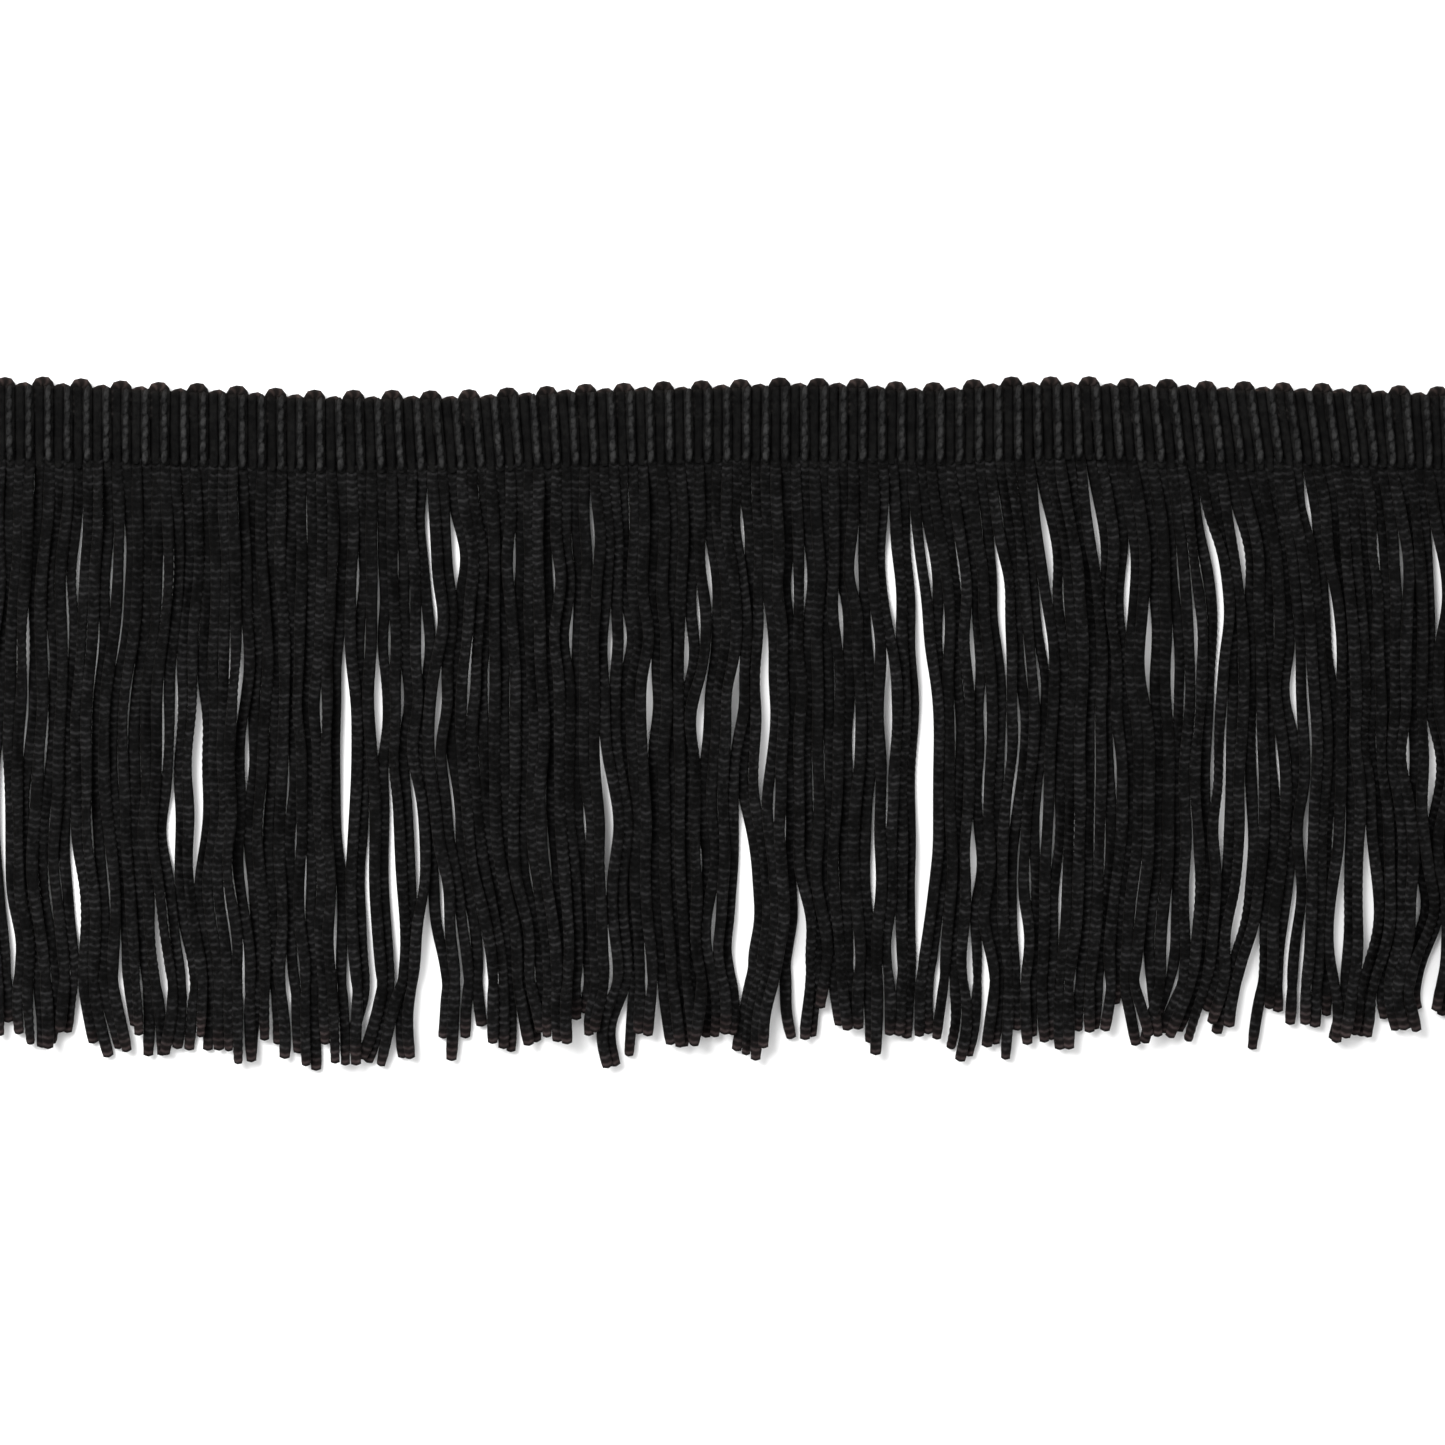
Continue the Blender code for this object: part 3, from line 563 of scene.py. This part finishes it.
# The strands: how they drift, where they part, how low they are cut, how they lie on each other
strand = {
    "count": 2 * trim["ribs"],
    "pitch": trim["ribPitch"] / 2,
    "firstRow": 41.0,
    "rowStep": 1.0,
    # the room that a strand likes to have, and the least that it is pushed into
    "frontRoom": 1.47,
    "backRoom": 0.7,
    "frontLeast": 1.2,
    "backLeast": 0.3,
    "rootRoom": 0.98,
    "easeFrom": 39.0,
    "easeOver": 8.0,
    "backHold": 0.5,
    "smoothing": 16,
    "backChance": 0.48,
    "halfWidth": 0.87,
    "halfHeight": 0.53,
    "touch": 0.97,
    "pressed": 0.85,
    "restZ": 0.67,
    "liftRows": (1, 2, 3),
    "liftSmoothing": 8,
    "slitShare": 0.82,
    "rootZ": 0.80,
    "rootBlend": 7.0,
    # the kinked line, where a stitch once bunched the strands
    "kinkY": -38.0,
    "kinkWaves": ((1.2, 23, 1), (0.8, 9, 0)),
    "kinkScatter": 0.5,
    "kinkPress": 0.45,
    "kinkPressReach": 1.8,
    "splay": 0.3,
    "lockSplay": 3.8,
    "lockSizes": (3, 4, 5),
    "splayReach": 12.0,
    # each strand's own waves: reach from crest to crest, and how far
    "waves": (((30, 60), 0.16), ((13, 24), 0.10)),
    "backWaves": 2.5,
    "driftEase": 12,
    "tipRow": 4,  # counted from the last: where a strand lies there decides which block it is in
    "tipScatter": 0.7,
    "backTipScatter": 3.0,
    "longest": -51.0,
    "endStop": trim["length"] / 2 + 0.2,
    "firm": 40.0,
    # x of the root, then the drift to the right at these depths below the band
    "driftDepths": (0, 12, 25, 40, 58, 72, 88),
    "drifts": [
        (-116, 0.0, -0.3, -0.8, -0.7, -0.3, 0.0), (-106, -0.3, -1.2, -2.4, -2.2, -0.6, 0.0),
        (-98, 0.0, -0.7, -2.1, -2.0, -0.8, -0.4), (-90, 0.2, -0.3, -1.6, -1.7, -0.2, 0.2),
        (-78, 0.2, 0.0, -0.8, -1.2, 0.2, 0.8), (-65, 0.3, 0.3, 0.0, -0.2, 0.8, 1.2),
        (-52, 0.3, 0.2, 0.2, 0.3, 0.6, 0.8), (-46, 0.4, 0.6, 0.0, 0.3, 1.2, 2.4),
        (-38, 0.5, 0.5, 0.2, 1.4, 5.0, 5.4), (-30, 0.3, 0.3, 0.0, 1.4, 4.6, 4.8),
        (-22, 0.2, 0.3, 0.2, 0.6, 1.6, 1.4), (-8, 0.1, 0.1, 0.1, 0.1, 0.5, 0.4),
        (6, 0.3, 1.0, 0.0, -0.2, 1.0, 1.2), (20, 0.3, 0.8, 0.6, 0.2, 0.4, 0.8),
        (27, 0.4, 2.4, 3.6, 2.6, 2.0, 1.8), (38, 1.5, 3.0, 3.2, 2.6, 2.4, 2.4),
        (50, 2.6, 3.4, 3.2, 2.8, 2.4, 2.2), (62, 1.4, 2.4, 2.4, 2.2, 0.8, 0.0),
        (74, 1.4, 2.8, 3.2, 3.0, 0.8, -1.4), (85, 2.2, 3.0, 3.4, 3.6, 2.8, 2.0),
        (95, 1.6, 2.2, 2.6, 3.2, 3.6, 2.6), (104, 0.8, 1.4, 1.8, 2.0, 0.4, -2.0),
        (116, 0.0, 0.2, 0.5, 0.5, 0.0, -0.5),
    ],
    # how locks of strands wander together: reach across, reach down and how far, for each wave
    "locks": [(37, 61, 0.35), (-23, 38, 0.30), (17, 45, 0.22), (-11, 27, 0.14), (29, -19, 0.12)],
    # the larger slits that show the floor: top, bottom, x at the top, middle and bottom, width
    "slits": [
        (-5, -25, -106, -106, -105.5, 1), (-25, -36, -106, -104.5, -103, 1),
        (-21, -34, -95, -95, -95, 1), (-26, -46, -84, -82.5, -81, 1),
        (-10, -21, -79.5, -81, -81, 2), (4, -23, -76.5, -77, -78, 1.5),
        (0, -11, -70.5, -70.5, -70.5, 1), (-35, -43, -65, -64, -63.5, 1),
        (-32, -38, -62.5, -62, -61, 1), (12, -21, -56, -55.5, -56, 2),
        (-34, -42, -55, -54, -53, 1), (10, -5, -51, -50.5, -50.5, 1.5),
        (-8, -52, -51, -51, -51, 1), (-7, -40, -48.5, -48.5, -47.5, 1.5),
        (7, 0, -47, -47, -47, 1), (-5, -28, -46.5, -46, -45.5, 1),
        (-26, -54, -45, -43.5, -43, 5), (-20, -29, -42.5, -41.5, -41, 1),
        (29, 20, -39.5, -39, -39, 2), (-12, -18, -19.5, -19.5, -19.5, 1),
        (-5, -23, -17.5, -17, -17, 1.5), (-41, -50, -16, -15.5, -15, 1),
        (8, -2, -10.5, -10.5, -10.5, 1.5), (14, 6, -5.5, -5, -5, 1),
        (5, -4, -3.5, -3.5, -3.5, 2), (21, 12, -4, -3.5, -3.5, 1),
        (27, 17, -2.5, -2, -1.5, 1), (-25, -33, 0, 0.5, 1, 1),
        (-11, -41, 3, 3.5, 4.5, 3.5), (17, -13, 6, 6.5, 5, 1.5),
        (-8, -14, 8, 7.5, 7, 1), (-22, -47, 10, 10.5, 11, 2.5),
        (-38, -56, 14.5, 15, 16, 3), (30, 12, 24, 25, 26, 1.5),
        (10, -6, 25, 25, 24.5, 1.5), (27, -35, 27, 29.5, 28.5, 3),
        (-36, -43, 31, 31.5, 32, 1), (-40, -47, 33, 34, 35.5, 1),
        (-15, -25, 36.5, 37, 37.5, 1.5), (16, 5, 36, 37, 37.5, 1),
        (26, 18, 39.5, 41, 42, 1), (19, 8, 39.5, 41, 41, 1),
        (34, 21, 46.5, 48, 50, 1.5), (-27, -35, 43.5, 44, 44.5, 1.5),
        (33, 22, 53.5, 55, 56, 1), (27, 12, 59, 59.5, 60, 1),
        (18, 4, 62, 62.5, 62, 1.5), (-35, -42, 62.5, 62, 61, 2),
        (-32, -36, 67, 66, 65.5, 1.5), (-18, -29, 69, 69, 69, 1),
        (29, 12, 72, 73, 74, 1), (-12, -20, 73, 73, 73, 1),
        (30, 20, 76, 76.5, 77, 1), (-26, -34, 76.5, 75.5, 74.5, 2),
        (-31, -45, 78.5, 77.5, 76, 3), (9, 0, 83.5, 83.5, 84, 1),
        (-12, -20, 85, 85.5, 86, 1), (35, 28, 85, 86, 87, 1.5),
        (-20, -38, 90.5, 91, 90, 2), (-16, -34, 94, 95, 94.5, 2),
        (27, 20, 100, 100, 100.5, 1), (-1, -9, 101, 101.5, 101.5, 1.5),
        (-1, -16, 103, 104, 104.5, 1.5), (-23, -31, 101.5, 102, 101.5, 2),
        (28, 14, 104, 105, 106, 1), (-31, -43, 105.5, 104, 101, 3),
        # shorter ones, from the left to the middle of the trim
        (23, 19, -82.5, -82.5, -82.5, 1), (16.5, 14, -77, -77, -77, 1),
        (9.5, 7, -70, -70, -70, 1), (5.5, -0.5, -58.5, -58.5, -59, 1),
        (24, 20.5, -53.5, -53.5, -54, 1), (14.5, 10, -49.5, -49, -48.5, 1.5),
        (31.5, 27, -44, -44, -43.5, 1), (15, 8.5, -44, -44, -44, 1),
        (19, 13.5, -42, -42, -41, 1.5), (7, -2, -42, -42, -42.5, 1.5),
        (27, 20, -31, -30.5, -30.5, 1), (24, 19, -24.5, -24.5, -24, 1.5),
        (26.5, 23, -22, -22, -22, 1.5), (15.5, 9.5, -21.5, -21.5, -21.5, 1),
        (32.5, 24, -19.5, -19, -18.5, 1), (15, 8, -17, -17, -16.5, 1.5),
        (16.5, 9, -14.5, -14.5, -14.5, 1), (7, -0.5, 2.5, 2.5, 2, 2),
        (31, 25.5, 3, 3, 3.5, 1.5), (8, 3, 8, 8.5, 9, 1.5),
        (23, 19.5, 12.5, 12.5, 13, 1.5), (20, 12.5, 17.5, 17.5, 17.5, 1.5),
        (25, 18, 19.5, 20, 20.5, 1.5),
    ],
    # small slits lie at random between them, more of them to the right and near the kinked line
    "smallSlits": {"count": 44, "tries": 40, "long": (3, 7), "wide": (0.4, 0.9),
                   "reach": (-42, 33), "lowShare": 0.6, "kinkBand": (-42, -30),
                   "rightPull": 0.9, "lean": (-0.3, 0.5), "clear": 3.0, "clearY": 2,
                   "endGap": 4},
    # a long slit that runs down to the kinked line is widest near its foot
    "slitShape": {"long": 14, "low": -28, "sag": 1.5, "blunt": 0.8},
    # the cut edge: each block of strands, by where it starts and how low it is cut
    "tips": [
        (-117, -46), (-103, -48), (-98, -46), (-94, -48), (-92, -50), (-89, -48), (-87, -46),
        (-85, -49), (-81, -48), (-78, -46), (-76, -48), (-74, -46), (-73, -48), (-72, -50),
        (-69, -47), (-67, -49), (-65, -50), (-62, -51), (-59, -47), (-57, -50), (-52, -51),
        (-49, -50), (-44, -48), (-41, -50), (-39, -46), (-37, -43), (-35, -46), (-34, -48),
        (-32, -50), (-29, -48), (-27, -46), (-25, -47), (-22, -44), (-20, -46), (-18, -51),
        (-13, -46), (-10, -47.5), (-2, -46), (1, -49), (5, -48), (7, -49), (10, -47),
        (14, -42), (16, -44), (18, -45.5), (21, -49), (23, -46.5), (29, -47), (33, -48),
        (35, -50.5), (37, -48), (40, -50), (42, -47), (49, -48), (52, -45.5), (56, -43),
        (59, -47.5), (62, -46), (66, -47), (69, -44.5), (71, -47), (72, -45.5), (75, -47.5),
        (80, -43), (82, -45), (87, -44.5), (89, -47), (92, -46), (95, -44.5), (98, -45.5),
        (103, -42), (105, -45.5),
    ],
}


def keepApart(wanted, room, hold):
    # moves a row of things as little as can be, so that each has its room in its order
    starts = [0.0]
    for before, after in zip(room, room[1:]):
        starts.append(starts[-1] + (before + after) / 2)
    groups = []
    for want, start, weight in zip(wanted, starts, hold):
        group = (want - start, weight, 1)
        while groups and groups[-1][0] >= group[0]:
            place, before, size = groups.pop()
            both = before + group[1]
            group = ((place * before + group[0] * group[1]) / both, both, size + group[2])
        groups.append(group)
    places = [place for place, _, size in groups for _ in range(size)]
    return [place + start for place, start in zip(places, starts)]


def slitCentre(slit, y):
    # one curve through the slit's top, middle and bottom
    t = (slit[0] - y) / (slit[0] - slit[1])
    bow = slit[3] - (slit[2] + slit[4]) / 2
    return slit[2] * (1 - t) + slit[4] * t + bow * 4 * t * (1 - t)


def slitWidth(slit, y):
    shape = strand["slitShape"]
    t = (slit[0] - y) / (slit[0] - slit[1])
    if not 0 < t < 1:
        return 0.0
    low = slit[0] - slit[1] > shape["long"] and slit[1] < shape["low"]
    wide = slit[5] * strand["slitShare"]
    return wide * math.sin(math.pi * (t ** shape["sag"] if low else t)) ** shape["blunt"]


def scatterSlits(rng):
    # the small slits, none of them close beside another slit
    small = strand["smallSlits"]
    slits = list(strand["slits"])
    wanted = len(slits) + small["count"]
    reach = trim["length"] / 2 - small["endGap"]
    for _ in range(small["tries"] * small["count"]):
        if len(slits) == wanted:
            break
        x = rng.uniform(-reach, reach)
        if rng.random() > 1 - small["rightPull"] * (0.5 - x / reach / 2):
            continue
        low = rng.random() < small["lowShare"]
        foot, top = small["kinkBand"] if low else small["reach"]
        long = rng.uniform(*small["long"])
        middle = rng.uniform(foot + long / 2, top - long / 2)
        lean = rng.uniform(*small["lean"])
        beside = [other for other in slits
                  if other[1] - small["clearY"] < middle < other[0] + small["clearY"]]
        if all(abs(slitCentre(other, middle) - x) > small["clear"] for other in beside):
            slits.append((middle + long / 2, middle - long / 2, x - lean, x, x + lean,
                          rng.uniform(*small["wide"])))
    return slits


def kinkAt(x):
    y = strand["kinkY"]
    for far, reach, start in strand["kinkWaves"]:
        y += far * math.sin(x / reach + start)
    return y


def layRow(y, wanted, isBack, slits):
    # the strands' places in one row, first with their natural room and then clear of the slits
    count = len(wanted)
    ease = float(np.clip((strand["easeFrom"] - y) / strand["easeOver"], 0.0, 1.0))
    even = strand["pitch"] * strand["rootRoom"]

    def roomFor(front, back):
        return np.where(isBack, even + (back - even) * ease, even + (front - even) * ease)

    natural = roomFor(strand["frontRoom"], strand["backRoom"])
    hold = np.where(isBack, strand["backHold"], 1.0)
    eased = keepApart(list(wanted), list(natural), list(hold))
    least = roomFor(strand["frontLeast"], strand["backLeast"])
    full = even + (strand["frontLeast"] - even) * ease
    row = [[-1, -strand["endStop"], full, strand["firm"]]]
    row += [[i, eased[i], least[i], hold[i]] for i in range(count)]
    row += [[count, strand["endStop"], full, strand["firm"]]]
    for slit, rank in slits:
        width = slitWidth(slit, y)
        if width > 0:
            row.append([rank, slitCentre(slit, y), width + 2 * strand["halfWidth"] - full,
                        strand["firm"]])
    row.sort(key=lambda item: item[0])
    for before, item, after in zip(row, row[1:], row[2:]):
        if item[3] == strand["firm"]:
            before[2] = max(before[2], full)
            after[2] = max(after[2], full)
    laid = keepApart([r[1] for r in row], [r[2] for r in row], [r[3] for r in row])
    return [x for x, item in zip(laid, row) if item[3] != strand["firm"]]


def stackRow(places, order):
    # each strand rests on the floor or on those that already lie there
    reach = 2 * strand["halfWidth"]
    heights = np.empty(len(places))
    laid = []
    for index in order:
        x, z = places[index], strand["restZ"]
        for otherX, otherZ in laid:
            away = abs(x - otherX)
            if away < reach * strand["touch"]:
                rise = 2 * strand["halfHeight"] * math.sqrt(1 - (away / reach) ** 2)
                z = max(z, otherZ + rise * strand["pressed"])
        laid.append((x, z))
        heights[index] = z
    return heights


def smoothRows(rows, times):
    for _ in range(times):
        rows[1:-1] = (rows[:-2] + 2 * rows[1:-1] + rows[2:]) / 4


def layStrands():
    # where every strand lies at every row, x and z; whether it is a back one; and the heights
    # of its root, its kink and its cut end
    rng = random.Random(trim["seed"] + 1)
    count = strand["count"]
    root = np.array([(i + 0.5) * strand["pitch"] - trim["length"] / 2 for i in range(count)])
    root = np.array([x + edgeAt(3, x) for x in root])
    top = np.array([edgeAt(2, x) for x in root])
    isBack = []
    for index in range(count):
        chance = 0.0 if isBack and isBack[-1] else strand["backChance"]
        isBack.append(0 < index < count - 1 and rng.random() < chance)
    isBack = np.array(isBack)
    ownWaves = [([rng.uniform(*reach) for _ in range(count)],
                 [rng.uniform(0, math.tau) for _ in range(count)], far)
                for reach, far in strand["waves"]]
    splay = np.array([rng.uniform(-1, 1) for _ in range(count)]) * strand["splay"]
    # below the kinked line a few strands at a time swing the same way, most of them a little
    swings = []
    while len(swings) < count:
        swing = rng.uniform(-1, 1)
        swings += [swing * abs(swing) * strand["lockSplay"]] * rng.choice(strand["lockSizes"])
    splay = splay + np.array(swings[:count])
    scatter = strand["kinkScatter"]
    kink = np.array([kinkAt(x) + rng.uniform(-scatter, scatter) for x in root])
    driftX = [row[0] for row in strand["drifts"]]
    driftTable = np.array([(0.0, *row[1:]) for row in strand["drifts"]])

    def wantedAt(y):
        depth = np.maximum(0.0, top - y)
        ease = np.minimum(1.0, depth / strand["driftEase"])
        drift = np.empty(count)
        for index in range(count):
            shifts = [np.interp(depth[index], strand["driftDepths"], row) for row in driftTable]
            drift[index] = np.interp(root[index], driftX, shifts)
        x = root + drift
        for across, down, far in strand["locks"]:
            x = x + ease * far * np.sin(math.tau * (root / across + y / down))
        for lengths, starts, far in ownWaves:
            wave = np.sin(math.tau * y / np.array(lengths) + np.array(starts))
            x = x + ease * far * wave * np.where(isBack, strand["backWaves"], 1.0)
        return x

    slits = []
    for slit in scatterSlits(rng):
        middle = (slit[0] + slit[1]) / 2
        rank = float(np.sum(wantedAt(middle) < slitCentre(slit, middle))) - 0.5
        slits.append((slit, rank))
    rows = np.arange(strand["firstRow"], strand["longest"] - 2 * strand["rowStep"],
                     -strand["rowStep"])
    places = np.array([layRow(y, wantedAt(y), isBack, slits) for y in rows])
    smoothRows(places, strand["smoothing"])
    # the swing comes after the rows are laid, so that locks of strands cross each other
    places += splay * np.maximum(0.0, kink - rows[:, None]) / strand["splayReach"]
    smoothRows(places, 1)
    backs = [i for i in range(count) if isBack[i]]
    fronts = [i for i in range(count) if not isBack[i]]
    rng.shuffle(fronts)
    heights = np.array([stackRow(row, backs + fronts) for row in places])
    # a strand is lifted a little before and after it crosses another
    lifted = heights.copy()
    for shift in strand["liftRows"]:
        lifted[shift:] = np.maximum(lifted[shift:], heights[:-shift])
        lifted[:-shift] = np.maximum(lifted[:-shift], heights[shift:])
    smoothRows(lifted, strand["liftSmoothing"])
    for number, y in enumerate(rows):
        held = np.clip(1 - (top - y) / strand["rootBlend"], 0, 1) ** 2
        pressed = strand["kinkPress"] * np.exp(-((y - kink) / strand["kinkPressReach"]) ** 2)
        low = strand["restZ"] + (lifted[number] - strand["restZ"]) * (1 - pressed)
        lifted[number] = low * (1 - held) + strand["rootZ"] * held
    nearTips = places[-strand["tipRow"]]
    starts = [tip[0] for tip in strand["tips"]]
    block = np.clip(np.searchsorted(starts, nearTips) - 1, 0, len(starts) - 1)
    more = np.where(isBack, strand["backTipScatter"], 1.0)
    cut = np.array([strand["tips"][block[i]][1] + rng.uniform(0, strand["tipScatter"]) * more[i]
                    for i in range(count)])
    return rows, places, lifted, isBack, top, kink, np.maximum(cut, strand["longest"])


# How one strand's yarn is knitted, twisted, pinched at the kink, cut and worn
strandYarn = {
    "tuckedIn": 1.3,
    "endGap": 0.4,
    "sizes": (0.95, 1.03),
    "turns": (22, 50),
    "twist": (0.2, 0.62),
    "rootReach": 5,
    "rootSize": 0.88,
    "rootGrow": 0.12,
    "pinch": 0.14,
    "pinchReach": 1.2,
    "blunt": 0.13,
    "bluntReach": 0.8,
    "worn": 1.2,
    "wornReach": (1.4, 2.8),
    # paler towards the tips: painted light
    "paler": 0.55,
    "palerReach": 90,
    "creaseShadeAmount": 0.5,
    "creaseReach": 1.1,
    # back strands are given a darker tone than front ones: painted shade where they lie under the
    # front strands
    "frontShade": 0.75,
    "backShade": 0.4,
    "bunches": 4,
}


def makeStrand(stitch, ys, xs, zs, start, cut, kink, top, isBack, rng):
    path = list(zip(xs, ys, zs))
    size = rng.uniform(*strandYarn["sizes"])
    turn = rng.uniform(*strandYarn["turns"])
    phase = rng.uniform(0, math.tau)
    twist = rng.uniform(*strandYarn["twist"])
    sizes, tilts = [], []
    for y in ys:
        rootShare = min(1.0, (start - y) / strandYarn["rootReach"])
        pinch = strandYarn["pinch"] * math.exp(-((y - kink) / strandYarn["pinchReach"]) ** 2)
        blunt = strandYarn["blunt"] if y < cut + strandYarn["bluntReach"] else 0.0
        grown = strandYarn["rootSize"] + strandYarn["rootGrow"] * rootShare
        sizes.append(size * grown * (1 - pinch - blunt))
        tilts.append(twist * rootShare * math.sin(y / turn * math.tau + phase))
    yarn = knitAlong(stitch, path, sizes, tilts, chainStitch["pitch"],
                     round(lengthOf(path) / chainStitch["pitch"]))
    along = pointsOf(yarn)[:, 1]
    worn = strandYarn["worn"] - (along - cut) / rng.uniform(*strandYarn["wornReach"])
    setShare(yarn, "worn", worn)
    # the yarn is painted a little paler towards its tips, painted light as if more light fell
    # there, and darker at the kink, painted shade in its crease
    paler = np.clip((top - along) / strandYarn["palerReach"], 0, 1) ** 2 * strandYarn["paler"]
    creaseShadeAmount = strandYarn["creaseShadeAmount"] * np.exp(-((along - kink) / strandYarn["creaseReach"]) ** 2)
    toneAndShade = rng.random() * (strandYarn["backShade"] if isBack else strandYarn["frontShade"])
    setShare(yarn, "toneAndShade", toneAndShade + paler - creaseShadeAmount)
    return yarn


def makeStrands():
    rng = random.Random(trim["seed"] + 2)
    rows, places, heights, isBack, top, kink, cut = layStrands()
    stitch = makeStitch("chainStitch", chainStitch)
    bunches = [[] for _ in range(strandYarn["bunches"])]
    gap = strandYarn["endGap"]
    for index in range(strand["count"]):
        start = top[index] + strandYarn["tuckedIn"] + rng.uniform(0, chainStitch["pitch"])
        ys = [start] + [y for y in rows if cut[index] + gap < y < start - gap] + [cut[index]]
        xs = np.interp(ys, rows[::-1], places[::-1, index])
        zs = np.interp(ys, rows[::-1], heights[::-1, index])
        yarn = makeStrand(stitch, ys, xs, zs, start, cut[index], kink[index], top[index],
                          isBack[index], rng)
        bunches[index * len(bunches) // strand["count"]].append(yarn)
    bpy.data.objects.remove(stitch)
    for number, bunch in enumerate(bunches):
        piece = joinPieces(bunch, "fringe_strands_" + str(number + 1))
        finishPiece(piece, strandMaterial, ["fringe_lower", "fringe_upper"])


makeStrands()
print("strands are laid")


# The studio: a pale floor, a broad soft light from the upper left, and even light all round
studio = {"floor": (0.86, 0.86, 0.86), "floorSize": 4, "floorRoughness": 0.9,
          "floorShine": 0.1, "around": 0.95, "key": 11.0, "keyPlace": (-0.42, 0.40, 0.62),
          "keySize": 0.50}


def makeStudio():
    bpy.ops.object.select_all(action="DESELECT")
    bpy.ops.mesh.primitive_plane_add(size=studio["floorSize"], location=(0, 0, 0))
    floor = bpy.context.object
    floor.name = "floor"
    paper = bpy.data.materials.new("paper")
    paper.use_nodes = True
    shader = paper.node_tree.nodes["Principled BSDF"]
    shader.inputs["Base Color"].default_value = (*studio["floor"], 1)
    shader.inputs["Roughness"].default_value = studio["floorRoughness"]
    shader.inputs["Specular IOR Level"].default_value = studio["floorShine"]
    floor.data.materials.append(paper)
    world = bpy.data.worlds.new("softLight")
    world.use_nodes = True
    sky = world.node_tree.nodes["Background"]
    sky.inputs["Color"].default_value = (1, 1, 1, 1)
    sky.inputs["Strength"].default_value = studio["around"]
    scene.world = world
    light = bpy.data.lights.new("key", "AREA")
    light.energy = studio["key"]
    light.shape = "SQUARE"
    light.size = studio["keySize"]
    key = bpy.data.objects.new("key", light)
    key.location = studio["keyPlace"]
    key.rotation_euler = Vector(studio["keyPlace"]).to_track_quat("Z", "Y").to_euler()
    scene.collection.objects.link(key)
    scene.view_settings.view_transform = "Standard"


makeStudio()
print("studio is lit")
